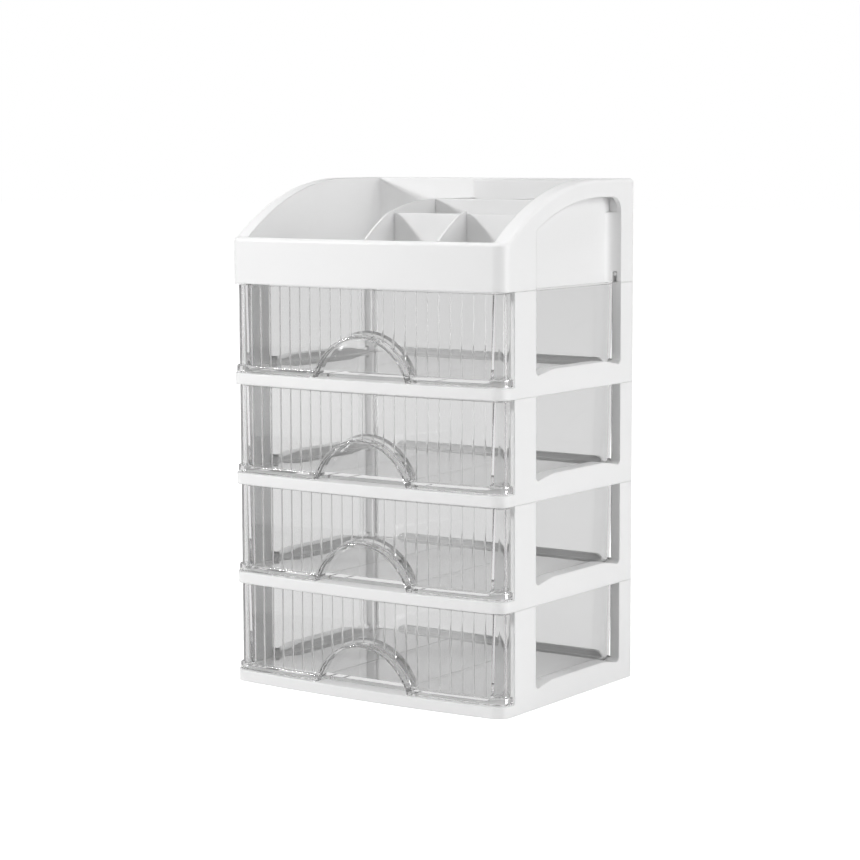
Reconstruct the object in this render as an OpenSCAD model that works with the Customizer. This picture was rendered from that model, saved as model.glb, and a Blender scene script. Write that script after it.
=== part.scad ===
// Desktop mini drawers: four stacked tier frames, a divided top tray and four clear drawers.
// Millimetres. +Z is up and the drawers open towards -Y.
// Origin: centre of the footprint, on the surface that the unit stands on.

/* [Body] */
// Overall width
body_w = 180; // [150:1:240]
// Overall depth, over the bowed front
body_d = 137; // [110:1:180]
// Bow of the front edge, corner to middle
front_bow = 3.5; // [1:0.5:6]
// Radius of the front corners
front_r = 8.3; // [6:0.1:12]
// Radius of the rear corners
rear_r = 3; // [2.6:0.1:6]
// Wall of the white mouldings
wall = 2.4; // [1.8:0.1:3]

/* [Tiers] */
// Height of one tier
tier_h = 55.5; // [46:0.5:80]
// Height of the floor's front band
band_h = 6.3; // [5:0.1:9]
// Thickness of the tier floor
floor_t = 2.2; // [1.6:0.1:3]
// Front of the body to the front face of the posts
post_back = 14.8; // [13:0.1:18]
// Width of the front posts, seen from the side
front_post = 20.9; // [14:0.1:30]
// Width of the rear posts, seen from the side
rear_post = 15.2; // [12:0.1:24]
// Reach of the rear posts along the back
rear_return = 3.6; // [3.4:0.1:14]
// Side opening: height of its sill at the ends
sill_low = 10.3; // [8:0.1:14]
// Side opening: rise of the sill's hump
sill_rise = 4.8; // [2:0.1:8]
// Radius of the lower corners of the openings
opening_r = 2.5; // [1:0.1:4]
// Side opening: depth of its sill, from the side face
sill_depth = 8; // [7:0.1:9]
// Height of the rear rail above the tier floor
rail_h = 6.2; // [4:0.1:10]
// Distance from the rear rail's ends to the side faces
rail_end = 20; // [14:0.5:30]
// Radius of the rear rail's ends
rail_r = 4.5; // [2:0.1:6]
// Depth of the rear posts' inner return, from the side face
return_depth = 5.6; // [5:0.1:8]
// Thickness of the ribs under the floor
rib_t = 1.6; // [1.2:0.1:2.4]

/* [Stacking clips] */
// Length of a clip along the post
clip_l = 7; // [4:0.5:9]
// Thickness of a clip
clip_t = 2; // [1.4:0.1:2.4]
// Rise of a clip above its post
clip_h = 5.6; // [4.8:0.1:6]
// Play round a clip
clip_gap = 0.3; // [0.2:0.05:0.5]
// Width of the latch nose
nose_w = 2; // [1.4:0.1:2.4]
// Height of the latch nose
nose_h = 2.2; // [1.4:0.1:2.4]

/* [Top tray] */
// Height of the tray at the back
tray_h = 56.5; // [44:0.5:80]
// Height of the tray's front
tray_front_h = 25.5; // [18:0.5:40]
// Radius of the sides' top curve
curve_r = 146; // [120:1:200]
// Length of the level stretch behind the curve
level_l = 37; // [20:1:60]
// Width of the side rims
rim_w = 9.1; // [7.6:0.1:12]
// Width of the rear rim
rear_rim_w = 5.2; // [4.6:0.1:8]
// Thickness of the rims
rim_t = 2; // [1.4:0.1:3]
// Side recess: drop below the rim's curve
recess_drop = 9.7; // [7:0.1:14]
// Side recess: radius of its rear top corner
recess_r = 8.5; // [4:0.5:12]
// Wall of the compartments
tub_wall = 1.6; // [1.2:0.1:2.4]
// Floor of the compartments
tub_floor = 2; // [1.4:0.1:3]
// Thickness of the dividers
divider_t = 1.4; // [1:0.1:2]
// Height of the front cross wall
low_wall_h = 38; // [26:0.5:44]
// Height of the rear cross wall
high_wall_h = 44.8; // [30:0.5:50]
// Front of the body to the front cross wall
low_wall_y = 35.6; // [28:0.5:44]
// Front of the body to the rear cross wall
high_wall_y = 75; // [60:0.5:84]
// Height of the rear slot's wall
slot_wall_h = 54.5; // [40:0.5:56]
// Front of the body to the rear slot's wall
slot_wall_y = 113; // [100:0.5:114]
// Sideways place of the long divider
long_divider_x = -1.5; // [-20:0.5:10]
// Sideways place of the short dividers
short_divider_x = 45.6; // [30:0.5:60]

/* [Drawers] */
// Drawer front, narrower than the body by this on each side
side_gap = 2; // [1.5:0.1:3]
// Play between drawers and frame
lift = 0.3; // [0.3:0.05:0.6]
// Front of the body to the face of the drawers
face_back = 4; // [3.2:0.1:5]
// Top of the drawer front, below the tier's top
face_drop = 0.8; // [0.6:0.1:2]
// Top of the drawer's sides, below the tier's top
side_drop = 3; // [2:0.1:8]
// Wall of the clear mouldings
clear_wall = 1.6; // [1.2:0.1:2.2]
// Thickness of the drawer front
face_t = 2.2; // [1.6:0.1:3]
// Radius of the drawer front's corners
face_r = 4; // [3.2:0.1:6]
// Play between the drawer's sides and the sills
tub_gap = 0.8; // [0.5:0.1:2]
// Radius of the drawer's rear corners
drawer_rear_r = 15; // [9:0.5:18]
// Radius round the drawer's floor
drawer_floor_r = 4; // [2.5:0.5:5]
// Back of the body to the back of the drawers
drawer_short = 6; // [4:0.1:12]
// Draft of the drawer's walls, top to bottom
drawer_draft = 2; // [0.5:0.1:2.5]
// Height of the runners under the drawer's floor
runner_h = 1.8; // [1:0.1:3]
// Thickness of the runners
runner_t = 1.6; // [1.2:0.1:2.4]
// Distance from the middle to each runner
runner_x = 27.5; // [20:0.5:60]
// Distance between the ribs on the drawer front
rib_pitch = 7; // [5:0.5:10]
// Half the width of a rib
rib_r = 0.7; // [0.5:0.05:1]
// Height of a rib above the face
rib_out = 0.5; // [0.3:0.05:0.7]
// Height of the foot ledge
ledge_h = 4; // [3:0.1:6]
// Set back of the foot ledge from the tier's band
ledge_back = 0.8; // [0.5:0.1:1.2]

/* [Arch pull] */
// Radius of the arch
arch_r = 33.5; // [24:0.5:36]
// Height of the arch's front rim above the tier's underside
arch_top = 29.8; // [24:0.1:36]
// Set back of the arch's front rim from the tier's band
arch_back = 1.4; // [0.8:0.1:3]
// Downward slope of the arch towards its rim, in degrees
arch_slope = 14.5; // [5:0.5:20]
// Set back of the panel inside the arch, from the face
pocket_d = 6; // [4.5:0.1:8]

/* [Hidden] */

fine = 96;
bow_fn = 1440;
curve_fn = 720;
soft_fn = 32;
eps = 0.01;
nudge = 0.01;
past = 1;

half_w = body_w / 2;
front = -body_d / 2;
rear = body_d / 2;

// Front outlines: a shallow arc that runs tangentially into the corner arcs.
function bow_radius(x) = (x * x + front_bow * front_bow) / (2 * front_bow);
function tangent_y(y, big, r, x) = y + big - sqrt(pow(big - r, 2) - x * x);
corner_x = half_w - front_r;
bow_r = bow_radius(corner_x);
corner_y = tangent_y(front, bow_r, front_r, corner_x);

// Tiers
post_y = front + post_back;
open_y0 = post_y + front_post;
open_y1 = rear - rear_post;
open_mid = (open_y0 + open_y1) / 2;
open_half = (open_y1 - open_y0) / 2;
hump_r = (open_half * open_half + sill_rise * sill_rise) / (2 * sill_rise);
hump_z = sill_low + sill_rise - hump_r;
inner_half = half_w - wall;
return_x = half_w - return_depth;
return_t = 1.8;
sill_x = half_w - sill_depth;
sill_t = 1.8;
rail_half = half_w - rail_end;
rib_z = 0.8;
rib_xs = [-2 / 3, -1 / 3, 0, 1 / 3, 2 / 3];
rib_ys = [1 / 4, 1 / 2, 3 / 4];

// Stacking clips: just inside the walls, one in each post.
clip_x = inner_half - clip_gap - clip_t;
front_clip_y = post_y + (front_post - clip_l) / 2;
rear_clip_y = open_y1 + return_t + clip_gap;
front_clip_h = band_h - floor_t - clip_gap;
nose_z = clip_h - nose_h;
nose_out = 0.6;

// Tray
tray_z = 4 * tier_h;
curve_y = rear - level_l;
curve_z = tray_h - curve_r;
curve_start = curve_y - sqrt(curve_r * curve_r - pow(tray_front_h - curve_z, 2));
tub_half = half_w - rim_w + tub_wall;
tub_rear = rear - rear_rim_w + tub_wall;
cavity_half = half_w - rim_w;
cavity_rear = rear - rear_rim_w;
cavity_r = 2;
divider_curve_y = front + high_wall_y;
divider_rise = high_wall_h - tray_front_h;
divider_curve_r = round((pow(high_wall_y - wall, 2) + pow(divider_rise, 2)) / (2 * divider_rise));

// Drawers
face_half = half_w - side_gap;
face_y = front + face_back;
face_x = face_half - face_r;
face_bow_r = bow_radius(face_x);
face_bow_y = face_y + face_bow_r;
face_corner_y = tangent_y(face_y, face_bow_r, face_r, face_x);
face_end = post_y - lift;
tub_x = sill_x - tub_gap;
drawer_z = band_h + lift;
tub_z = drawer_z + runner_h;
drawer_top = tier_h - side_drop;
face_top = tier_h - face_drop;
drawer_rear = rear - drawer_short;
rib_n = floor(face_x / rib_pitch);
ledge_top = drawer_z + ledge_h;
arch_front = front + arch_back;
pocket_y = face_y + pocket_d;
arch_z = arch_top - arch_r / cos(arch_slope);

white = [0.95, 0.95, 0.95];
clear = [0.82, 0.84, 0.86, 0.45];

// Front part of an outline, drawn in by an even margin: bowed front edge and two round corners.
// The corners stand a hair proud of the bow, which trims them, so that the arcs cross cleanly.
module bowed_front(y, half, r, y_end, inset) {
    x = half - r;
    big = bow_radius(x);
    mid_y = tangent_y(y, big, r, x) - nudge;
    tangent_x = x * big / (big - r);
    intersection() {
        translate([0, y + big])
            circle(r = big - inset, $fn = bow_fn);
        union() {
            translate([-half + inset, mid_y])
                square([2 * (half - inset), y_end - mid_y]);
            translate([-tangent_x, y - past])
                square([2 * tangent_x, mid_y - y + 2 * past]);
            for (s = [-1, 1])
                translate([s * x, mid_y])
                    circle(r = r - inset, $fn = fine);
        }
    }
}

// Plan outline of the body, drawn in by an even margin.
module plan(inset = 0) {
    bowed_front(front, half_w, front_r, rear - rear_r, inset);
    translate([-half_w + rear_r, rear - rear_r - eps])
        square([body_w - 2 * rear_r, rear_r - inset + eps]);
    for (s = [-1, 1])
        translate([s * (half_w - rear_r), rear - rear_r])
            circle(r = rear_r - inset, $fn = fine);
}

// Plan outline of a drawer's front, carried on to the back.
module face_plan(inset = 0) {
    bowed_front(face_y, face_half, face_r, rear, inset);
}

// Band between the outline and a smaller copy of it.
module wall_ring(thick) {
    difference() {
        plan();
        plan(thick);
    }
}

// Draws a Y-Z profile as a prism along X.
module along_x(x0, x1) {
    translate([x0, 0, 0])
        rotate([90, 0, 90])
            linear_extrude(x1 - x0)
                children();
}

// Y-Z profile of a tier's side opening: a humped sill with rounded lower corners, open at the top.
module side_opening() {
    foot_z = hump_z + sqrt(pow(hump_r + opening_r, 2) - pow(open_half - opening_r, 2));
    difference() {
        translate([open_y0 + opening_r, 0])
            square([2 * (open_half - opening_r), tier_h + past]);
        translate([open_mid, hump_z])
            circle(r = hump_r, $fn = curve_fn);
    }
    translate([open_y0, foot_z])
        square([2 * open_half, tier_h + past - foot_z]);
    for (y = [open_y0 + opening_r, open_y1 - opening_r])
        translate([y, foot_z])
            circle(r = opening_r, $fn = fine);
}

// Opening in a tier's back; a low rail with rounded ends stays in front of the floor's edge.
module rear_opening() {
    half = half_w - rear_return;
    y = rear - wall - past;
    depth = wall + 2 * past;
    difference() {
        translate([-half, y, band_h])
            cube([2 * half, depth, tier_h]);
        translate([-rail_half, y, 0])
            cube([2 * rail_half, depth, band_h + rail_h - rail_r]);
        translate([-rail_half + rail_r, y, 0])
            cube([2 * (rail_half - rail_r), depth, band_h + rail_h]);
        for (s = [-1, 1])
            translate([s * (rail_half - rail_r), y, band_h + rail_h - rail_r])
                rotate([-90, 0, 0])
                    cylinder(r = rail_r, h = depth, $fn = fine);
    }
}

// Box rib under each sill: it runs inwards from the side wall and is hollow from below.
module sill_block() {
    along_x(sill_x, inner_half + eps)
        difference() {
            translate([open_y0, band_h - eps])
                square([2 * open_half, sill_low + sill_rise - band_h + eps]);
            side_opening();
        }
}

// Hollow of the box rib.
module sill_hollow() {
    along_x(sill_x + rib_t, inner_half)
        intersection() {
            translate([open_mid, hump_z])
                circle(r = hump_r - sill_t, $fn = curve_fn);
            translate([open_y0 + rib_t, -past])
                square([2 * (open_half - rib_t), tier_h]);
        }
}

// Ribs that stiffen the floor from below.
module floor_ribs() {
    intersection() {
        union() {
            for (k = rib_xs)
                translate([k * half_w - rib_t / 2, front, rib_z])
                    cube([rib_t, body_d, band_h - floor_t - rib_z + eps]);
            for (k = rib_ys)
                translate([-half_w, front + k * body_d - rib_t / 2, rib_z])
                    cube([body_w, rib_t, band_h - floor_t - rib_z + eps]);
        }
        translate([0, 0, rib_z])
            linear_extrude(band_h)
                plan(wall / 2);
    }
}

// One clip on each post; the rear pair carries a latch nose that points forwards.
module clips() {
    root = 2.6;
    for (s = [-1, 1]) {
        x = s > 0 ? clip_x : -clip_x - clip_t;
        translate([x, front_clip_y, tier_h - root])
            cube([clip_t, clip_l, root + front_clip_h]);
        translate([x, rear_clip_y, tier_h - root])
            cube([clip_t, clip_l, root + clip_h]);
        translate([x, rear_clip_y - clip_gap - return_t - nose_out, tier_h + nose_z])
            cube([nose_w, clip_gap + return_t + nose_out + past, nose_h]);
    }
    // Webs that carry the clips on the inside of the side walls.
    for (s = [-1, 1], y = [front_clip_y, rear_clip_y])
        translate([s > 0 ? clip_x : -inner_half - eps, y, tier_h - root])
            cube([clip_t + clip_gap + eps, clip_l, root]);
}

// Slots in the floor that take the rear clips of the tier below.
module clip_slots(height) {
    for (s = [-1, 1]) {
        x = s > 0 ? clip_x - clip_gap : -inner_half;
        translate([x, rear_clip_y - clip_gap, -past])
            cube([clip_t + 2 * clip_gap, clip_l + 2 * clip_gap, height + past]);
        translate([x, open_y1 - nose_out - clip_gap, -past])
            cube([clip_t + 2 * clip_gap, return_t + nose_out + 2 * clip_gap, height + past]);
    }
}

// One tier: floor with a skirt, side walls with a front and a rear post, and a low rear rail.
module tier_frame() {
    difference() {
        union() {
            linear_extrude(band_h)
                wall_ring(wall);
            translate([0, 0, band_h - floor_t])
                linear_extrude(floor_t)
                    plan(wall / 2);
            translate([0, 0, band_h - eps])
                linear_extrude(tier_h - band_h + eps)
                    intersection() {
                        wall_ring(wall);
                        translate([-half_w, post_y])
                            square([body_w, rear - post_y]);
                    }
            for (s = [-1, 1])
                translate([s > 0 ? return_x : -inner_half - eps, open_y1, band_h - eps])
                    cube([inner_half - return_x + eps, return_t, tier_h - band_h + eps]);
            floor_ribs();
            clips();
            for (s = [0, 1])
                mirror([s, 0, 0])
                    sill_block();
        }
        for (s = [0, 1])
            mirror([s, 0, 0])
                sill_hollow();
        along_x(-half_w - past, -inner_half + eps)
            side_opening();
        along_x(inner_half - eps, half_w + past)
            side_opening();
        rear_opening();
        clip_slots(band_h);
    }
}

// Y-Z profile of the tray's side: level front, rising curve, level back.
module tray_profile(drop = 0) {
    translate([front - past, -past])
        square([body_d + 2 * past, tray_front_h + past - drop]);
    translate([curve_y, -past])
        square([level_l + past, tray_h + past - drop]);
    intersection() {
        translate([curve_y, curve_z])
            circle(r = curve_r - drop, $fn = curve_fn);
        translate([curve_start, -past])
            square([curve_y - curve_start + eps, tray_h + past]);
    }
}

// Y-Z profile of the recess in the tray's side, which carries on the tier's opening below.
module recess_profile() {
    top = tray_h - recess_drop;
    intersection() {
        translate([curve_y, curve_z])
            circle(r = curve_r - recess_drop, $fn = curve_fn);
        translate([open_y0, -past])
            square([curve_y - open_y0, top + past]);
    }
    translate([curve_y - eps, -past])
        square([open_y1 - recess_r - curve_y + eps, top + past]);
    translate([curve_y - eps, -past])
        square([open_y1 - curve_y + eps, top - recess_r + past]);
    translate([open_y1 - recess_r, top - recess_r])
        circle(r = recess_r, $fn = fine);
}

// Y-Z profile of the long divider: it rises from the front rim to the rear cross wall's height.
module divider_profile() {
    translate([front + wall / 2, 0])
        square([body_d - wall, tray_front_h]);
    translate([divider_curve_y, 0])
        square([rear - wall - divider_curve_y, high_wall_h]);
    intersection() {
        translate([divider_curve_y, high_wall_h - divider_curve_r])
            circle(r = divider_curve_r, $fn = curve_fn);
        translate([front + wall, 0])
            square([divider_curve_y - front - wall + eps, high_wall_h]);
    }
}

// Plan of the space inside the tray's walls.
module cavity_plan() {
    intersection() {
        plan(wall);
        union() {
            translate([-cavity_half, front])
                square([2 * cavity_half, cavity_rear - cavity_r - front]);
            translate([-cavity_half + cavity_r, front])
                square([2 * (cavity_half - cavity_r), cavity_rear - front]);
            for (s = [-1, 1])
                translate([s * (cavity_half - cavity_r), cavity_rear - cavity_r])
                    circle(r = cavity_r, $fn = fine);
        }
    }
}

// Walls that divide the tray.
module dividers() {
    wall_x = long_divider_x;
    span = cavity_half - wall_x + tub_wall / 2;
    along_x(wall_x - divider_t / 2, wall_x + divider_t / 2)
        divider_profile();
    along_x(short_divider_x - divider_t / 2, short_divider_x + divider_t / 2)
        difference() {
            divider_profile();
            translate([front + low_wall_y, 0])
                square([high_wall_y - low_wall_y, tray_h]);
            translate([front + slot_wall_y, 0])
                square([body_d, tray_h]);
        }
    translate([wall_x, front + low_wall_y, 0])
        cube([span, divider_t, low_wall_h]);
    translate([wall_x, front + high_wall_y, 0])
        cube([span, divider_t, high_wall_h]);
    translate([wall_x, front + slot_wall_y, 0])
        cube([span, divider_t, slot_wall_h]);
}

// Top tray: outer shell with a curved rim, an inner tub with dividers, and a recess in each side.
module tray() {
    fillet = rim_w - tub_wall;
    color(white)
        translate([0, 0, tray_z])
            difference() {
                union() {
                    difference() {
                        intersection() {
                            linear_extrude(tray_h)
                                plan();
                            along_x(-half_w - past, half_w + past)
                                tray_profile();
                        }
                        translate([0, 0, tub_floor])
                            linear_extrude(tray_h)
                                cavity_plan();
                        shell_hollow();
                        for (s = [-1, 1])
                            mirror([s < 0 ? 1 : 0, 0, 0])
                                along_x(tub_half, half_w + past)
                                    recess_profile();
                    }
                    intersection() {
                        translate([0, 0, tub_floor / 2])
                            dividers();
                        linear_extrude(tray_h)
                            plan(wall / 2);
                    }
                    for (s = [-1, 1])
                        mirror([s < 0 ? 1 : 0, 0, 0])
                            recess_corner(fillet - past);
                }
                clip_slots(clip_h + clip_gap);
            }
}

// Hollow between the tray's outer shell and its tub, open below.
module shell_hollow() {
    intersection() {
        difference() {
            translate([0, 0, -past])
                linear_extrude(tray_h)
                    difference() {
                        plan(wall);
                        translate([-tub_half, front])
                            square([2 * tub_half, tub_rear - front]);
                    }
            for (s = [-1, 1])
                mirror([s < 0 ? 1 : 0, 0, 0]) {
                    translate([tub_half - eps, open_y1, -2 * past])
                        cube([rim_w, return_t, tray_h]);
                    translate([tub_half - eps, open_y0 - return_t, -2 * past])
                        cube([rim_w, return_t, tray_h]);
                }
        }
        along_x(-half_w, half_w)
            tray_profile(rim_t);
    }
}

// Concave corner where the recess turns outwards to the rear post.
module recess_corner(r) {
    top = tray_h - recess_drop - recess_r;
    translate([tub_half - eps, open_y1 - r, 0])
        linear_extrude(top)
            difference() {
                square([r + eps, r + eps]);
                translate([r + eps, 0])
                    circle(r = r, $fn = fine);
            }
}

// Lower corner of the drawer's tub: a disc whose lower edge is rounded.
module floor_corner(x, y, z, r, round_r) {
    translate([x, y, z + round_r])
        rotate_extrude($fn = soft_fn)
            intersection() {
                translate([max(r - round_r, eps), 0])
                    circle(r = round_r, $fn = soft_fn);
                translate([0, -round_r])
                    square([r + round_r, round_r]);
            }
}

// Tub shape drawn in by an even margin: drafted walls and a rounded floor; it runs on past the face.
module tub_body(inset, z0, z1) {
    r = drawer_rear_r - inset;
    floor_r = drawer_floor_r - inset;
    y0 = front + r;
    hull()
        for (s = [-1, 1]) {
            for (y = [y0, drawer_rear - drawer_rear_r])
                translate([s * (tub_x - drawer_rear_r), y, z1 - eps])
                    cylinder(r = r, h = eps, $fn = soft_fn);
            for (y = [y0, drawer_rear - drawer_draft - drawer_rear_r])
                floor_corner(s * (tub_x - drawer_draft - drawer_rear_r), y, z0, r, floor_r);
        }
}

// Slab over the body's width, from one Y and Z to another.
module slab(y0, y1, z0, z1) {
    translate([-half_w, y0, z0])
        cube([body_w, y1 - y0, z1 - z0]);
}

// Plan of the drawer front: a bowed plate with short sides and half-round ribs on its face.
module ribbed_plan() {
    intersection() {
        difference() {
            face_plan();
            face_plan(face_t);
        }
        translate([-half_w, front])
            square([body_w, face_end - front]);
    }
    for (i = [-rib_n : rib_n]) {
        x = i * rib_pitch;
        translate([x, face_bow_y - sqrt(face_bow_r * face_bow_r - x * x) + rib_r - rib_out])
            circle(r = rib_r, $fn = soft_fn);
    }
}

// Foot ledge: a lip round the front's lower edge that follows the tier's band.
module foot_ledge() {
    translate([0, 0, drawer_z])
        linear_extrude(ledge_h)
            intersection() {
                difference() {
                    plan(ledge_back);
                    face_plan(face_t / 2);
                }
                translate([-half_w, front])
                    square([body_w, face_end - front]);
            }
}

// Two runners that carry the drawer's floor, from the pull's panel to the back.
module runners() {
    y0 = pocket_y + clear_wall / 2;
    y1 = drawer_rear - drawer_draft - drawer_floor_r;
    for (s = [-1, 1])
        translate([s * runner_x - runner_t / 2, y0, drawer_z])
            cube([runner_t, y1 - y0, runner_h + clear_wall / 2]);
}

// Tunnel of the arch pull, drawn in by a margin; it slopes down to its rim.
module arch_core(inset) {
    reach = 40;
    translate([0, arch_front, arch_z])
        rotate([-90 + arch_slope, 0, 0])
            translate([0, 0, -reach / 2])
                cylinder(r = arch_r - inset, h = 2 * reach, $fn = curve_fn);
}

// One clear drawer: tub on two runners, ribbed front, foot ledge and an arch pull over a shallow pocket.
module drawer_body() {
    tall = tier_h - drawer_z;
    difference() {
        union() {
            difference() {
                intersection() {
                    tub_body(0, tub_z, drawer_top);
                    translate([0, 0, drawer_z])
                        linear_extrude(tall)
                            face_plan(face_t / 2);
                }
                intersection() {
                    tub_body(clear_wall, tub_z + clear_wall, tier_h);
                    translate([0, 0, drawer_z])
                        linear_extrude(tall)
                            face_plan(face_t);
                }
            }
            translate([0, 0, drawer_z])
                linear_extrude(face_top - drawer_z)
                    ribbed_plan();
            foot_ledge();
            runners();
            intersection() {
                arch_core(0);
                slab(arch_front, pocket_y + clear_wall, drawer_z, face_top);
            }
        }
        intersection() {
            arch_core(clear_wall);
            slab(front - past, pocket_y, drawer_z - past, face_top);
        }
    }
}

module tier(level) {
    color(white)
        translate([0, 0, level * tier_h])
            tier_frame();
}

module drawer(level) {
    color(clear)
        translate([0, 0, level * tier_h])
            drawer_body();
}

tier(0);  // tier_1
tier(1);  // tier_2
tier(2);  // tier_3
tier(3);  // tier_4
tray();
drawer(0);  // drawer_1
drawer(1);  // drawer_2
drawer(2);  // drawer_3
drawer(3);  // drawer_4
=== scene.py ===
"""Desktop mini drawers: white stacked frames, clear ribbed drawers and a divided top tray."""
import math

import bmesh
import bpy
import numpy as np
from bpy.props import FloatProperty, FloatVectorProperty, PointerProperty
from mathutils import Matrix, Vector


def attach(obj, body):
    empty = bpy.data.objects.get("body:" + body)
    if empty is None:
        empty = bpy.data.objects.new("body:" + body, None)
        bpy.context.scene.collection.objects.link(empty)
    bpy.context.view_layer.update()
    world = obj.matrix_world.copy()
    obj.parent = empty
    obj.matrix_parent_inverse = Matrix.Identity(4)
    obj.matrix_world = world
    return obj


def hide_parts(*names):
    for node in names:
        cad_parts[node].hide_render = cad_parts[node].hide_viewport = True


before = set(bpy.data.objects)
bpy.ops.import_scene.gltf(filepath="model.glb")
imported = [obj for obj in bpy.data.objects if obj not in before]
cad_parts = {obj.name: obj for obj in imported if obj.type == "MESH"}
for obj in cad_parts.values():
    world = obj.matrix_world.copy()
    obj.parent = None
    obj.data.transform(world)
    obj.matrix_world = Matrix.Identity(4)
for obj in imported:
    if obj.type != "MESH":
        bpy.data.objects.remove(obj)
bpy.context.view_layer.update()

bl_info = {
    "name": "Desktop mini drawers",
    "version": (1, 0, 0),
    "blender": (4, 5, 0),
    "location": "3D View > Sidebar > Drawers",
    "description": "Builds the clear drawers, the tray's rim, the finishes and the studio round the frame",
    "category": "Object",
}

MM = 0.001
TIERS = 4

# The white body's outline in millimetres
FRONT = -68.5
REAR = 68.5
HALF_W = 90.0
FRONT_R = 8.3
BOW = 3.5

# Light: the way from the camera to the backdrop, and the bounces after which a mirrored ray is inside a wall
BACKDROP = (-0.57, 0.82, 0.0)
INSIDE_BOUNCES = 3.5


def length(name, text, value):
    """A length in metres that shows enough digits for thin walls."""
    return FloatProperty(name=name, description=text, default=value, unit="LENGTH", precision=5)


class DrawerShape(bpy.types.PropertyGroup):
    """Sizes of the clear drawers"""

    tier_h: length("Tier height", "Distance between one drawer and the next", 0.0555)
    bottom_z: length("Underside", "Height of the drawer's underside in its tier", 0.0066)
    face_y: length("Face", "Place of the face's middle along Y", -0.0645)
    face_half: length("Half width", "Half the width of the drawer front", 0.088)
    face_r: length("Front corner", "Radius of the drawer front's corners", 0.004)
    face_t: length("Front wall", "Thickness of the drawer front", 0.0022)
    face_top: length("Front top", "Height of the front's top edge in its tier", 0.0547)
    face_end: length("Side end", "Where the front's short sides end along Y", -0.054)
    rib_pitch: length("Rib pitch", "Distance between ribs", 0.007)
    rib_r: length("Rib radius", "Half the width of a rib", 0.0007)
    rib_out: length("Rib height", "How far a rib stands off the face", 0.0005)
    ledge_h: length("Ledge height", "Height of the foot ledge", 0.004)
    ledge_back: length("Ledge set back", "Set back of the ledge from the tier's band", 0.0008)
    tub_half: length("Tub half width", "Half the tub's width at its rim", 0.0822)
    tub_top: length("Tub top", "Height of the tub's rim in its tier", 0.0545)
    tub_rear: length("Tub rear", "Place of the tub's back at its rim along Y", 0.0656)
    tub_r: length("Rear corner", "Radius of the tub's rear corners", 0.010)
    floor_r: length("Floor radius", "Radius round the tub's floor", 0.004)
    draft: length("Draft", "How much the walls lean over their height", 0.001)
    wall: length("Wall", "Wall of the clear moulding", 0.0016)
    runner_h: length("Runner height", "Height of the runners under the floor", 0.0018)
    runner_t: length("Runner thickness", "Thickness of a runner", 0.0016)
    runner_x: length("Runner place", "Distance from the middle to each runner", 0.0275)
    soft: length("Edge radius", "Radius of the moulding's outer edges", 0.0006)
    arch_r: length("Arch radius", "Outer radius of the arch pull", 0.0335)
    arch_top: length("Arch top", "Height of the arch's front rim in its tier", 0.0298)
    arch_y: length("Arch rim", "Place of the arch's front rim along Y", -0.0671)
    arch_slope: FloatProperty(name="Arch slope", description="Slope of the arch towards its rim",
                              default=math.radians(14.5), unit="ROTATION")
    pocket_y: length("Pocket panel", "Place of the panel inside the arch along Y", -0.0585)


class TrayShape(bpy.types.PropertyGroup):
    """Sizes of the top tray's outline and rim"""

    base_z: length("Base", "Height of the tray's underside", 0.222)
    front_h: length("Front height", "Height of the tray's front", 0.0255)
    back_h: length("Back height", "Height of the tray's level back", 0.0565)
    curve_r: length("Curve radius", "Radius of the sides' top curve", 0.146)
    level_l: length("Level length", "Length of the level stretch behind the curve", 0.037)
    front_r: length("Front corner", "Radius of the front corners", FRONT_R * MM)
    rear_r: length("Rear corner", "Radius of the rear corners", 0.003)
    rim_round: length("Rim radius", "Radius of the rim's outer edge", 0.0024)


class Finishes(bpy.types.PropertyGroup):
    """Colours and surfaces of the two plastics"""

    white: FloatVectorProperty(name="White", description="Colour of the white plastic", subtype="COLOR",
                               default=(0.86, 0.86, 0.86))
    white_rough: FloatProperty(name="Sheen", description="Roughness of the white plastic", default=0.38)
    bevel: length("Edge radius", "Radius that softens the white mouldings' edges", 0.0012)
    clear: FloatVectorProperty(name="Clear", description="Tint of the clear plastic", subtype="COLOR",
                               default=(0.95, 0.95, 0.95))
    clear_rough: FloatProperty(name="Clarity", description="Roughness of the clear plastic", default=0.02)
    clear_ior: FloatProperty(name="Index", description="Refractive index of the clear plastic", default=1.5)
    clear_shade: FloatProperty(name="Shade", description="Light let through one skin of clear plastic",
                               default=0.95)
    clear_depth: FloatProperty(name="Depth", default=4.5,
                               description="Bounces after which clear plastic stops bending light")
    clear_mirrors: FloatProperty(name="Mirrors", default=2.5,
                                 description="Mirror bounces after which clear plastic stops bending light")


class Studio(bpy.types.PropertyGroup):
    """Lamps and surroundings"""

    key: FloatProperty(name="Key", description="Power of the lamp at the front left", default=26.0,
                       unit="POWER")
    side: FloatProperty(name="Side", description="Power of the soft box at the right", default=22.0,
                        unit="POWER")
    top: FloatProperty(name="Top", description="Power of the soft box above", default=20.0, unit="POWER")
    sky: FloatProperty(name="Sky", description="Strength of the surrounding white for shading", default=0.2)
    behind: FloatProperty(name="Behind", description="Brightness of the studio seen through clear plastic",
                          default=0.78)
    flank: FloatProperty(name="Flank", description="Brightness at the sides, seen through clear plastic",
                         default=0.2)
    table: FloatProperty(name="Table", description="Brightness of the near table, seen through clear plastic",
                         default=0.45)
    lift: FloatProperty(name="Lift", description="Glow that lifts the floor to white for the eye",
                        default=0.85)


# ---------------------------------------------------------------------------- meshes


def millimetres(group, plain=()):
    """A property group's lengths in millimetres, by name; the ones in plain stay as they are."""
    return {key: getattr(group, key) / (1 if key in plain else MM) for key in group.__annotations__}


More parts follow.
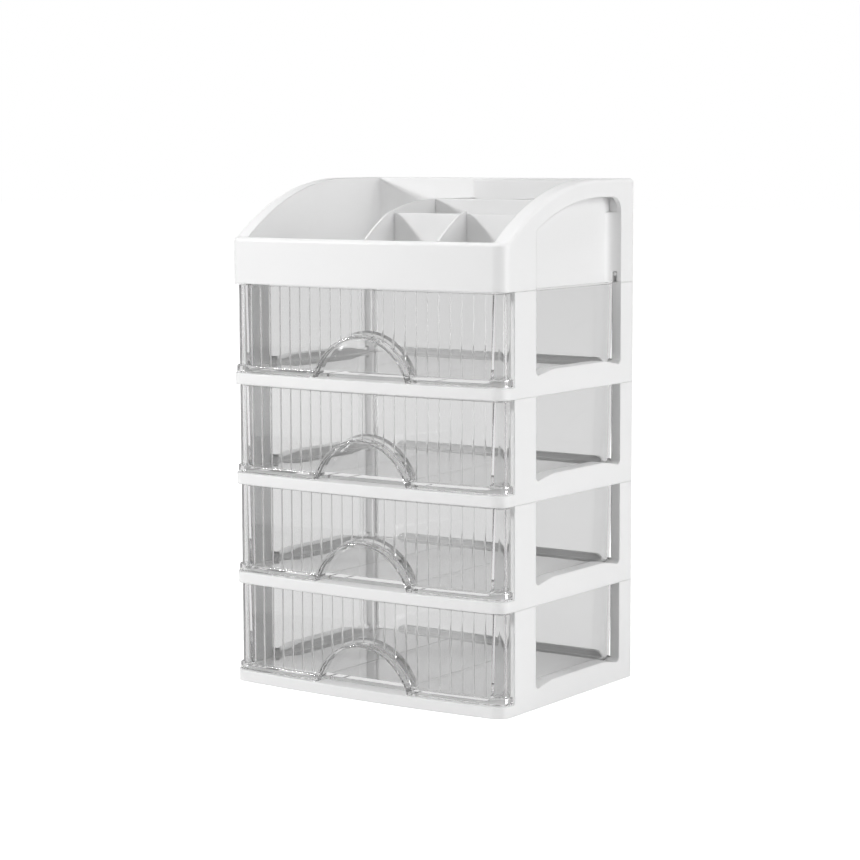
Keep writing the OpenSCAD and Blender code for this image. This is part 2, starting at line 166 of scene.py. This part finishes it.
def add_mesh(name, points, faces):
    """A mesh object from points in millimetres and a list of faces."""
    mesh = bpy.data.meshes.new(name)
    mesh.from_pydata(np.asarray(points, float) * MM, [], faces)
    mesh.update()
    obj = bpy.data.objects.new(name, mesh)
    bpy.context.scene.collection.objects.link(obj)
    return obj


def loft(name, rings, strips=False):
    """Closed solid through rings of matching points: quads between neighbours and a flat cap on each end.

    With strips, point m of a ring faces point size - 1 - m across a thin wall, and quads between them cap it.
    """
    rings = np.asarray(rings, float)
    count, size = rings.shape[:2]
    i, j = np.meshgrid(np.arange(count - 1), np.arange(size), indexing="ij")
    k = (j + 1) % size
    quads = np.stack([i * size + j, i * size + k, (i + 1) * size + k, (i + 1) * size + j], -1)
    quads = quads.reshape(-1, 4)
    m = np.arange(size // 2 - 1)
    cap = np.stack([m, m + 1, size - 2 - m, size - 1 - m], 1) if strips else np.arange(size)[None]
    faces = quads.tolist() + cap[:, ::-1].tolist() + (cap + (count - 1) * size).tolist()
    return add_mesh(name, rings.reshape(-1, 3), faces)


def inset(outline, depth):
    """Closed outline moved inwards: each point goes along the mean of its two edges' normals."""
    edge = np.roll(outline, -1, 0) - outline
    normal = np.stack([edge[:, 1], -edge[:, 0]], 1)
    normal /= np.linalg.norm(normal, axis=1)[:, None]
    mean = normal + np.roll(normal, 1, 0)
    mean /= np.linalg.norm(mean, axis=1)[:, None]
    lean = np.clip((mean * normal).sum(1), 0.5, 1)
    return outline - mean * (depth / lean)[:, None]


def prism(name, outline, z0, z1, round0=0.0, round1=0.0, strips=False):
    """Outline raised from z0 to z1; its lower and upper edges are quarter circles of the given radii."""
    turn = np.linspace(0, math.pi / 2, 6)
    foot, head = [(0.0, z0)], [(0.0, z1)]
    if round0:
        foot = [(round0 * (1 - math.sin(a)), z0 + round0 * (1 - math.cos(a))) for a in turn]
    if round1:
        head = [(round1 * (1 - math.cos(a)), z1 - round1 * (1 - math.sin(a))) for a in turn]
    rings = []
    for depth, z in foot + head:
        flat = inset(outline, depth) if depth else outline
        rings.append(np.column_stack([flat, np.full(len(flat), z)]))
    return loft(name, rings, strips)


def settle(obj):
    """Turn an object's modifiers into its mesh."""
    graph = bpy.context.evaluated_depsgraph_get()
    mesh = bpy.data.meshes.new_from_object(obj.evaluated_get(graph))
    old = obj.data
    obj.modifiers.clear()
    obj.data = mesh
    bpy.data.meshes.remove(old)


def combine(base, tool, how):
    """Boolean of two solids; the tool is removed afterwards."""
    mod = base.modifiers.new("combine", "BOOLEAN")
    mod.operation = how
    mod.solver = "MANIFOLD"
    mod.object = tool
    settle(base)
    tool_mesh = tool.data
    bpy.data.objects.remove(tool)
    bpy.data.meshes.remove(tool_mesh)


def soften(obj):
    """Smooth shading that stays sharp along edges over 32 degrees and keeps large faces flat."""
    mesh = obj.data
    for old in ("custom_normal", "sharp_face"):
        if old in mesh.attributes:
            mesh.attributes.remove(mesh.attributes[old])
    mesh.shade_smooth()
    mesh.set_sharp_from_angle(angle=math.radians(32))
    mod = obj.modifiers.new("even", "WEIGHTED_NORMAL")
    mod.weight = 100
    mod.keep_sharp = True
    settle(obj)


# ---------------------------------------------------------------------------- outlines


def bow_path(y, half, r, corner_steps=12, marks=None):
    """Points and outward normals of a front: left corner arc, shallow bow, right corner arc.

    The bow is part of a circle whose chord and height are known; the corner arcs of radius r touch it
    from inside. marks are arc lengths along the bow, measured from its middle.
    """
    x = half - r
    big = (x * x + BOW * BOW) / (2 * BOW)
    mid = y + big - math.sqrt((big - r) ** 2 - x * x)
    lean = math.asin(x / (big - r))
    bow = np.linspace(-lean, lean, 49) if marks is None else marks / big
    start = max(lean, abs(bow).max()) + 0.06
    arc = np.linspace(start, math.pi / 2, corner_steps)
    on_bow = np.stack([np.sin(bow), -np.cos(bow)], 1)
    on_arc = np.stack([np.sin(arc), -np.cos(arc)], 1)
    right = on_arc * r + [x, mid]
    normals = np.concatenate([(on_arc * [-1, 1])[::-1], on_bow, on_arc])
    points = np.concatenate([(right * [-1, 1])[::-1], on_bow * big + [0, y + big], right])
    return points, normals


def front_outline(y, half, r, end, depth=0.0):
    """Closed outline of a bowed front carried on straight to y = end."""
    points, normals = bow_path(y, half, r)
    path = points - normals * depth
    side = half - depth
    return np.concatenate([[[-side, end]], path, [[side, end]]])


def round_rect(half, y0, y1, r):
    """Closed outline of a rectangle with equal round corners, anticlockwise."""
    turn = np.linspace(0, math.pi / 2, 12)
    centres = [(half - r, y1 - r), (-half + r, y1 - r), (-half + r, y0 + r), (half - r, y0 + r)]
    parts = []
    for q, (cx, cy) in enumerate(centres):
        a = turn + q * math.pi / 2
        parts.append(np.stack([cx + r * np.cos(a), cy + r * np.sin(a)], 1))
    return np.concatenate(parts)


# ---------------------------------------------------------------------------- drawer


def tub_rings(s, depth, low, high=None):
    """Rings of the tub's skin: flat floor, quarter-round fillet, drafted wall, rounded rim.

    The outer skin has depth 0 and ends at its rim. The inner skin lies depth further in, flares out round
    the rim and goes on up to high. Both start in front of the drawer's face, which cuts them off.
    """
    r_floor = s["floor_r"] - depth
    front = FRONT - 4
    wall_z = low + r_floor
    flare = high is not None
    rings = []

    def ring(z, shrink):
        drafted = s["tub_top"] - s["tub_z"] - s["floor_r"]
        rise = max(0.0, (z - s["tub_z"] - s["floor_r"]) / drafted)
        lean = s["draft"] * (1 - rise)
        grow = depth + shrink
        flat = round_rect(s["tub_half"] - lean - grow, front + grow, s["tub_rear"] - lean - grow,
                          s["tub_r"] - grow)
        rings.append(np.column_stack([flat, np.full(len(flat), z)]))

    for a in np.linspace(0, math.pi / 2, 9):
        ring(low + r_floor * (1 - math.cos(a)), r_floor * (1 - math.sin(a)))
    for z in np.linspace(wall_z, s["tub_top"] - s["soft"], 6)[1:]:
        ring(z, 0.0)
    for a in np.linspace(0, math.pi / 2, 6)[1:]:
        side = s["soft"] * (1 - math.cos(a))
        ring(s["tub_top"] - s["soft"] * (1 - math.sin(a)), -side if flare else side)
    if flare:
        ring(high, -s["soft"])
    return rings


def rib_marks(s):
    """Arc positions and heights along the bow: a half-round rib at every pitch, flat in between."""
    turn = np.linspace(-1, 1, 9) * math.acos((s["rib_r"] - s["rib_out"]) / s["rib_r"])
    du = s["rib_r"] * np.sin(turn)
    height = s["rib_r"] * np.cos(turn) - (s["rib_r"] - s["rib_out"])
    count = int((s["face_half"] - s["face_r"]) // s["rib_pitch"])
    place = np.arange(-count, count + 1) * s["rib_pitch"]
    between = np.array([1, 2, 3]) / 4 * s["rib_pitch"]
    marks = np.concatenate([(place[:, None] + du).ravel(), (place[:-1, None] + between).ravel()])
    heights = np.concatenate([np.tile(height, len(place)), np.zeros(3 * (len(place) - 1))])
    order = np.argsort(marks)
    return marks[order], heights[order]


def arch_rings(s, depth, y1, y0=None):
    """Rings of the arch along Y, up to y1: ellipses whose centre climbs with the slope.

    The hood's outer skin starts at the rim with a quarter circle. The tunnel that hollows it starts at y0,
    in front of the rim, and leaves a chamfer there.
    """
    slope = s["arch_slope"]
    r = s["arch_r"] - depth
    turn = np.linspace(0, -2 * math.pi, 145)[:-1]
    base = s["arch_top"] - s["arch_r"] / math.cos(slope)
    rings = []

    def ring(y, grow):
        z = base + (y - s["arch_y"]) * math.tan(slope)
        rings.append(np.stack([(r + grow) * np.cos(turn), np.full(len(turn), y),
                               z + (r + grow) / math.cos(slope) * np.sin(turn)], 1))

    soft = s["soft"]
    rim = np.linspace(0, math.pi / 2, 6)
    if y0 is None:
        for a in rim:
            ring(s["arch_y"] + soft * (1 - math.cos(a)), -soft * (1 - math.sin(a)))
    else:
        ring(y0, soft)
        for a in rim:
            ring(s["arch_y"] + soft * math.sin(a), soft * (1 - math.sin(a)))
    for y in np.linspace(s["arch_y"] + soft, y1, 5)[1:]:
        ring(y, 0.0)
    return rings


def tub_solid(s, name):
    """The open tub; front and sides are cut along the middle of the wall that the drawer's face adds."""
    low, tall, rear = -5, s["tub_top"] + 20, 80
    face = s["face_y"], s["face_half"], s["face_r"], rear
    tub = loft(name, tub_rings(s, 0.0, s["tub_z"]))
    combine(tub, prism("trim", front_outline(*face, s["face_t"] / 2), low, tall + 10), "INTERSECT")
    hollow = loft("hollow", tub_rings(s, s["wall"], s["tub_z"] + s["wall"], tall))
    combine(hollow, prism("trim", front_outline(*face, s["face_t"] - 0.02), low, tall + 10), "INTERSECT")
    combine(tub, hollow, "DIFFERENCE")
    return tub


def face_plate(s):
    """The bowed front wall with its ribs: a path, the same path one wall further in, and round tips."""
    marks, heights = rib_marks(s)
    points, normals = bow_path(s["face_y"], s["face_half"], s["face_r"], marks=marks)
    extra = (len(points) - len(marks)) // 2
    heights = np.concatenate([np.zeros(extra), heights, np.zeros(extra)])[:, None]
    outer = points + normals * heights
    inner = points - normals * s["face_t"]
    soft, half, thick = s["soft"], s["face_half"], s["face_t"]
    end = s["face_end"] - soft
    turn = np.linspace(0, math.pi / 2, 5)
    tip_out = np.stack([half - soft + soft * np.cos(turn), end + soft * np.sin(turn)], 1)
    tip_in = np.stack([half - thick + soft - soft * np.sin(turn), end + soft * np.cos(turn)], 1)
    flip = [-1, 1]
    outline = np.concatenate([(tip_out * flip)[::-1], outer, tip_out,
                              tip_in, inner[::-1], (tip_in * flip)[::-1]])
    return prism("plate", outline, s["bottom_z"], s["face_top"], 0.3, 0.45, strips=True)


def foot_ledge(s):
    """The ledge under the face, from the tier's bowed band in front to the middle of the face behind."""
    lip, lip_n = bow_path(FRONT, HALF_W, FRONT_R)
    lip = lip - lip_n * s["ledge_back"]
    back, back_n = bow_path(s["face_y"], s["face_half"], s["face_r"])
    back = back - back_n * s["face_t"] / 2
    lip_half = HALF_W - s["ledge_back"]
    back_half = s["face_half"] - s["face_t"] / 2
    end = s["face_end"]
    outline = np.concatenate([[[-lip_half, end]], lip, [[lip_half, end]],
                              [[back_half, end]], back[::-1], [[-back_half, end]]])
    return prism("ledge", outline, s["bottom_z"], s["bottom_z"] + s["ledge_h"], 0.3, 0.7, strips=True)


def runner(s, side):
    """One runner under the tub's floor, from the pocket to the rear fillet; side is -1 or 1."""
    front, rear = s["pocket_y"] + s["wall"] / 2, s["tub_rear"] - s["draft"] - s["floor_r"]
    outline = np.array([[-1, front], [1, front], [1, rear], [-1, rear]])
    outline = outline * [s["runner_t"] / 2, 1] + [side * s["runner_x"], 0]
    return prism("runner", outline, s["bottom_z"], s["tub_z"] + s["wall"] / 2, 0.3)


def drawer_solid(s, name):
    """One clear moulding: tub, ribbed front, foot ledge, runners and the arch pull over its pocket."""
    drawer = tub_solid(s, name)
    combine(drawer, face_plate(s), "UNION")
    combine(drawer, foot_ledge(s), "UNION")
    for side in (-1, 1):
        combine(drawer, runner(s, side), "UNION")
    hood = loft("hood", arch_rings(s, 0.0, s["pocket_y"] + s["wall"]))
    room = np.array([[-60, -90], [60, -90], [60, 0], [-60, 0]], float)
    combine(hood, prism("room", room, s["bottom_z"], s["face_top"] - 1), "INTERSECT")
    combine(drawer, hood, "UNION")
    combine(drawer, loft("tunnel", arch_rings(s, s["wall"], s["pocket_y"], FRONT - 6)), "DIFFERENCE")
    return drawer


class DRAWERS_OT_clear_drawers(bpy.types.Operator):
    """Build the four clear drawers with soft edges in place of their CAD nodes"""

    bl_idname = "drawers.clear_drawers"
    bl_label = "Clear drawers"

    def execute(self, context):
        s = millimetres(context.scene.drawer_shape, plain=("arch_slope",))
        s["tub_z"] = s["bottom_z"] + s["runner_h"]
        base = drawer_solid(s, "clear_drawer_1")
        soften(base)
        for k in range(TIERS):
            obj = base
            if k:
                mesh = base.data.copy()
                mesh.transform(Matrix.Translation((0, 0, k * s["tier_h"] * MM)))
                obj = bpy.data.objects.new(f"clear_drawer_{k + 1}", mesh)
                context.scene.collection.objects.link(obj)
            obj.data.materials.clear()
            obj.data.materials.append(bpy.data.materials["clear_plastic"])
            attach(obj, f"drawer_body_{k + 1}")
            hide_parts(f"drawer_{k + 1}")
        return {"FINISHED"}


# ---------------------------------------------------------------------------- tray


def rim_height(t, y):
    """Height of the tray's top over Y: level front, a circle's arc that climbs, level back."""
    centre = REAR - t["level_l"]
    low = t["back_h"] - t["curve_r"]
    arc = low + np.sqrt(np.maximum(t["curve_r"] ** 2 - (y - centre) ** 2, 0))
    return np.where(y > centre, t["back_h"], np.maximum(t["front_h"], arc))


def rim_envelope(t, spare=0.03):
    """Space that the tray fills: its outline raised to the top curve, with a quarter-round outer rim.

    Ring a of the rim is the outline drawn in by r (1 - cos a), at r (1 - sin a) below the top curve.
    Mirrored points share their Y and height, so that strips from left to right close the top.
    """
    r, rear_r = t["rim_round"], t["rear_r"]
    turn = np.linspace(0, math.pi / 2, 8)
    corner = np.stack([-HALF_W + rear_r - rear_r * np.sin(turn), REAR - rear_r + rear_r * np.cos(turn)], 1)
    side = np.linspace(REAR - rear_r, FRONT + 12, 126)[1:]
    front, _ = bow_path(FRONT, HALF_W, t["front_r"], corner_steps=24)
    left = np.concatenate([corner, np.column_stack([np.full(len(side), -HALF_W), side]),
                           front[:len(front) // 2]])
    outline = np.concatenate([left, (left * [-1, 1])[::-1]])
    rings = [np.column_stack([inset(outline, -spare), np.full(len(outline), t["base_z"] - 1)])]
    for a in np.linspace(0, math.pi / 2, 9):
        flat = inset(outline, r * (1 - math.cos(a)) - spare)
        height = rim_height(t, flat[:, 1]) - r * (1 - math.sin(a)) + spare
        rings.append(np.column_stack([flat, t["base_z"] + height]))
    return loft("envelope", rings, strips=True)


class DRAWERS_OT_tray(bpy.types.Operator):
    """Round the outer rim of the top tray, in place of its CAD node"""

    bl_idname = "drawers.tray"
    bl_label = "Tray"

    def execute(self, context):
        t = millimetres(context.scene.tray_shape)
        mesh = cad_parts["tray"].data.copy()
        welded = bmesh.new()
        welded.from_mesh(mesh)
        bmesh.ops.remove_doubles(welded, verts=welded.verts, dist=1e-7)
        welded.to_mesh(mesh)
        welded.free()
        tray = bpy.data.objects.new("white_tray", mesh)
        context.scene.collection.objects.link(tray)
        combine(tray, rim_envelope(t), "INTERSECT")
        if len(tray.data.polygons) < len(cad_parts["tray"].data.polygons) // 10:
            raise RuntimeError("the tray's rim could not be rounded")
        soften(tray)
        tray.data.materials.clear()
        tray.data.materials.append(bpy.data.materials["white_plastic"])
        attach(tray, "frame")
        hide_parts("tray")
        return {"FINISHED"}


# ---------------------------------------------------------------------------- materials


def add_node(tree, kind, values=None, **settings):
    """A shader node with its settings and the constant values of its inputs."""
    made = tree.nodes.new("ShaderNode" + kind)
    for name, value in settings.items():
        setattr(made, name, value)
    for socket, value in (values or {}).items():
        made.inputs[socket].default_value = value
    return made


def new_material(name):
    """An empty material and its node tree."""
    mat = bpy.data.materials.new(name)
    mat.use_nodes = True
    mat.node_tree.nodes.clear()
    return mat, mat.node_tree


def over(tree, socket, limit):
    """One where a socket's value is over the limit."""
    test = add_node(tree, "Math", {1: limit}, operation="GREATER_THAN")
    tree.links.new(socket, test.inputs[0])
    return test.outputs["Value"]


def calculate(tree, operation, first, second):
    """The result of a calculation on two sockets."""
    result = add_node(tree, "Math", operation=operation)
    tree.links.new(first, result.inputs[0])
    tree.links.new(second, result.inputs[1])
    return result.outputs["Value"]


def choose(tree, factor, off, on):
    """The shader off where the factor is 0 and on where it is 1."""
    mix = add_node(tree, "MixShader")
    tree.links.new(factor, mix.inputs["Fac"])
    tree.links.new(off, mix.inputs[1])
    tree.links.new(on, mix.inputs[2])
    return mix.outputs["Shader"]


def white_plastic(f):
    """Satin white plastic: soft edges, faint moulding ripple and a slight change of sheen."""
    mat, tree = new_material("white_plastic")
    out = add_node(tree, "OutputMaterial")
    skin = add_node(tree, "BsdfPrincipled", {"Base Color": (*f.white, 1), "IOR": 1.48})
    where = add_node(tree, "TexCoord")
    ripple = add_node(tree, "TexNoise", {"Scale": 260, "Detail": 3})
    cloud = add_node(tree, "TexNoise", {"Scale": 14})
    bevel = add_node(tree, "Bevel", {"Radius": f.bevel}, samples=6)
    bump = add_node(tree, "Bump", {"Strength": 0.02, "Distance": 0.0005})
    sheen = add_node(tree, "MapRange", {"To Min": f.white_rough - 0.03, "To Max": f.white_rough + 0.03})
    link = tree.links.new
    link(where.outputs["Object"], ripple.inputs["Vector"])
    link(where.outputs["Object"], cloud.inputs["Vector"])
    link(cloud.outputs["Fac"], sheen.inputs["Value"])
    link(sheen.outputs["Result"], skin.inputs["Roughness"])
    link(ripple.outputs["Fac"], bump.inputs["Height"])
    link(bevel.outputs["Normal"], bump.inputs["Normal"])
    link(bump.outputs["Normal"], skin.inputs["Normal"])
    link(skin.outputs["BSDF"], out.inputs["Surface"])
    return mat


def clear_plastic(f):
    """Clear plastic that bends and mirrors light for the eye.

    Lamp and bounce light pass with a light tint, and a ray that has bounced often goes straight on.
    """
    mat, tree = new_material("clear_plastic")
    out = add_node(tree, "OutputMaterial")
    skin = add_node(tree, "BsdfPrincipled", {"Base Color": (*f.clear, 1), "Roughness": f.clear_rough,
                                             "IOR": f.clear_ior, "Transmission Weight": 1})
    where = add_node(tree, "TexCoord")
    ripple = add_node(tree, "TexNoise", {"Scale": 60})
    bump = add_node(tree, "Bump", {"Strength": 0.02, "Distance": 0.0005})
    path = add_node(tree, "LightPath")
    passing = add_node(tree, "BsdfTransparent", {"Color": (f.clear_shade, f.clear_shade, f.clear_shade, 1)})
    straight = add_node(tree, "BsdfTransparent")
    link = tree.links.new
    link(where.outputs["Object"], ripple.inputs["Vector"])
    link(ripple.outputs["Fac"], bump.inputs["Height"])
    link(bump.outputs["Normal"], skin.inputs["Normal"])
    spent = calculate(tree, "MAXIMUM", over(tree, path.outputs["Ray Depth"], f.clear_depth),
                      over(tree, path.outputs["Glossy Depth"], f.clear_mirrors))
    unseen = calculate(tree, "MAXIMUM", path.outputs["Is Shadow Ray"], path.outputs["Is Diffuse Ray"])
    seen = choose(tree, spent, skin.outputs["BSDF"], straight.outputs["BSDF"])
    link(choose(tree, unseen, seen, passing.outputs["BSDF"]), out.inputs["Surface"])
    return mat


class DRAWERS_OT_finishes(bpy.types.Operator):
    """Make the white and the clear plastic and give the CAD nodes their finish"""

    bl_idname = "drawers.finishes"
    bl_label = "Finishes"

    def execute(self, context):
        f = context.scene.drawer_finishes
        white = white_plastic(f)
        clear = clear_plastic(f)
        for name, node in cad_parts.items():
            node.data.materials.clear()
            node.data.materials.append(clear if name.startswith("drawer") else white)
        return {"FINISHED"}


# ---------------------------------------------------------------------------- studio


def soft_box(name, place, target, size, power):
    """A rectangular area lamp at place that faces the target."""
    lamp = bpy.data.lights.new(name, "AREA")
    lamp.shape = "RECTANGLE"
    lamp.size, lamp.size_y = size
    lamp.energy = power
    obj = bpy.data.objects.new(name, lamp)
    obj.location = place
    obj.rotation_euler = (Vector(target) - Vector(place)).to_track_quat("-Z", "Y").to_euler()
    bpy.context.scene.collection.objects.link(obj)


def camera():
    """Camera solved from the photograph: place, turn, tilt and lens."""
    data = bpy.data.cameras.new("camera")
    data.sensor_width = 36
    data.lens = 103.43
    data.clip_end = 50
    obj = bpy.data.objects.new("camera", data)
    place = (0.7784, -1.1171, 0.2967)
    yaw, tilt, roll = math.radians(34.89), math.radians(6.56), math.radians(-0.206)
    upright = Matrix.Rotation(math.pi / 2 - tilt, 4, "X")
    turn = Matrix.Rotation(yaw, 4, "Z") @ upright @ Matrix.Rotation(roll, 4, "Z")
    obj.matrix_world = Matrix.Translation(place) @ turn
    bpy.context.scene.collection.objects.link(obj)
    bpy.context.scene.camera = obj


def lit_backdrop(tree, coordinate, low, near, far):
    """Brightness of what clear plastic shows.

    It rises smoothly from low to the studio's brightness behind while the coordinate, measured along the
    backdrop's direction, goes from near to far.
    """
    where = add_node(tree, "TexCoord")
    along = add_node(tree, "VectorMath", {1: BACKDROP}, operation="DOT_PRODUCT")
    rise = add_node(tree, "MapRange", {"From Min": near, "From Max": far, "To Min": low,
                                       "To Max": bpy.context.scene.drawer_studio.behind},
                    interpolation_type="SMOOTHSTEP")
    tree.links.new(where.outputs[coordinate], along.inputs[0])
    tree.links.new(along.outputs["Value"], rise.inputs["Value"])
    return rise.outputs["Result"]


def inside_rays(tree, path):
    """One for rays that come through clear plastic: transmitted, or mirrored deep inside a wall of it."""
    deep = over(tree, path.outputs["Ray Depth"], INSIDE_BOUNCES)
    mirrored = calculate(tree, "MULTIPLY", path.outputs["Is Glossy Ray"], deep)
    return calculate(tree, "MAXIMUM", path.outputs["Is Transmission Ray"], mirrored)


def backdrop_white(s):
    """World that shows as white, lights softly and shows through clear plastic as a lit backdrop."""
    world = bpy.data.worlds.new("studio")
    world.use_nodes = True
    tree = world.node_tree
    tree.nodes.clear()
    white = (1, 1, 1, 1)
    out = add_node(tree, "OutputWorld")
    path = add_node(tree, "LightPath")
    seen = add_node(tree, "Background", {"Color": white, "Strength": 1.0})
    lit = add_node(tree, "Background", {"Color": white, "Strength": s.sky})
    through = add_node(tree, "Background", {"Color": white})
    tree.links.new(lit_backdrop(tree, "Generated", s.flank, 0.6, 0.93), through.inputs["Strength"])
    bent = choose(tree, inside_rays(tree, path), lit.outputs["Background"], through.outputs["Background"])
    shown = choose(tree, path.outputs["Is Camera Ray"], bent, seen.outputs["Background"])
    tree.links.new(shown, out.inputs["Surface"])
    bpy.context.scene.world = world


def floor_white(s):
    """Wide floor: matt white that keeps a soft shadow and is lifted to white for the camera."""
    far = 9000
    corners = [[-far, -far, 0], [far, -far, 0], [far, far, 0], [-far, far, 0]]
    floor = add_mesh("floor", corners, [(0, 1, 2, 3)])
    mat, tree = new_material("floor")
    out = add_node(tree, "OutputMaterial")
    path = add_node(tree, "LightPath")
    matt = add_node(tree, "BsdfDiffuse", {"Color": (0.8, 0.8, 0.8, 1)})
    glow = add_node(tree, "Emission", {"Strength": s.lift})
    none = add_node(tree, "Emission", {"Strength": 0})
    both = add_node(tree, "AddShader")
    beyond = add_node(tree, "Emission")
    tree.links.new(lit_backdrop(tree, "Object", s.table, -0.1, 0.12), beyond.inputs["Strength"])
    lifted = choose(tree, path.outputs["Is Camera Ray"], none.outputs["Emission"], glow.outputs["Emission"])
    tree.links.new(matt.outputs["BSDF"], both.inputs[0])
    tree.links.new(lifted, both.inputs[1])
    shown = choose(tree, inside_rays(tree, path), both.outputs["Shader"], beyond.outputs["Emission"])
    tree.links.new(shown, out.inputs["Surface"])
    floor.data.materials.append(mat)


class DRAWERS_OT_studio(bpy.types.Operator):
    """Set up the floor, the white surroundings, the lamps and the camera"""

    bl_idname = "drawers.studio"
    bl_label = "Studio"

    def execute(self, context):
        s = context.scene.drawer_studio
        camera()
        backdrop_white(s)
        floor_white(s)
        aim = (0, 0, 0.18)
        soft_box("key", (-1.5, -1.5, 0.84), aim, (0.3, 0.3), s.key)
        soft_box("side", (1.85, 0.3, 0.6), aim, (1.2, 1.4), s.side)
        soft_box("top", (0.0, -0.4, 1.9), aim, (1.5, 1.5), s.top)
        context.scene.view_settings.view_transform = "Standard"
        return {"FINISHED"}


class DRAWERS_PT_panel(bpy.types.Panel):
    """Panel with the drawers' shape, finishes and studio"""

    bl_label = "Mini drawers"
    bl_space_type = "VIEW_3D"
    bl_region_type = "UI"
    bl_category = "Drawers"

    def draw(self, context):
        scene = context.scene
        for group in (getattr(scene, name) for name in GROUPS):
            for key in group.__annotations__:
                self.layout.prop(group, key)
        for cls in OPERATORS:
            self.layout.operator(cls.bl_idname)


OPERATORS = (DRAWERS_OT_finishes, DRAWERS_OT_clear_drawers, DRAWERS_OT_tray, DRAWERS_OT_studio)
CLASSES = (DrawerShape, TrayShape, Finishes, Studio, *OPERATORS, DRAWERS_PT_panel)
GROUPS = {"drawer_shape": DrawerShape, "tray_shape": TrayShape,
          "drawer_finishes": Finishes, "drawer_studio": Studio}


def register():
    for cls in CLASSES:
        bpy.utils.register_class(cls)
    for name, group in GROUPS.items():
        setattr(bpy.types.Scene, name, PointerProperty(type=group))


def unregister():
    for name in GROUPS:
        delattr(bpy.types.Scene, name)
    for cls in reversed(CLASSES):
        bpy.utils.unregister_class(cls)


def main():
    register()
    bpy.ops.drawers.finishes()
    bpy.ops.drawers.clear_drawers()
    bpy.ops.drawers.tray()
    bpy.ops.drawers.studio()


if __name__ == "__main__":
    main()
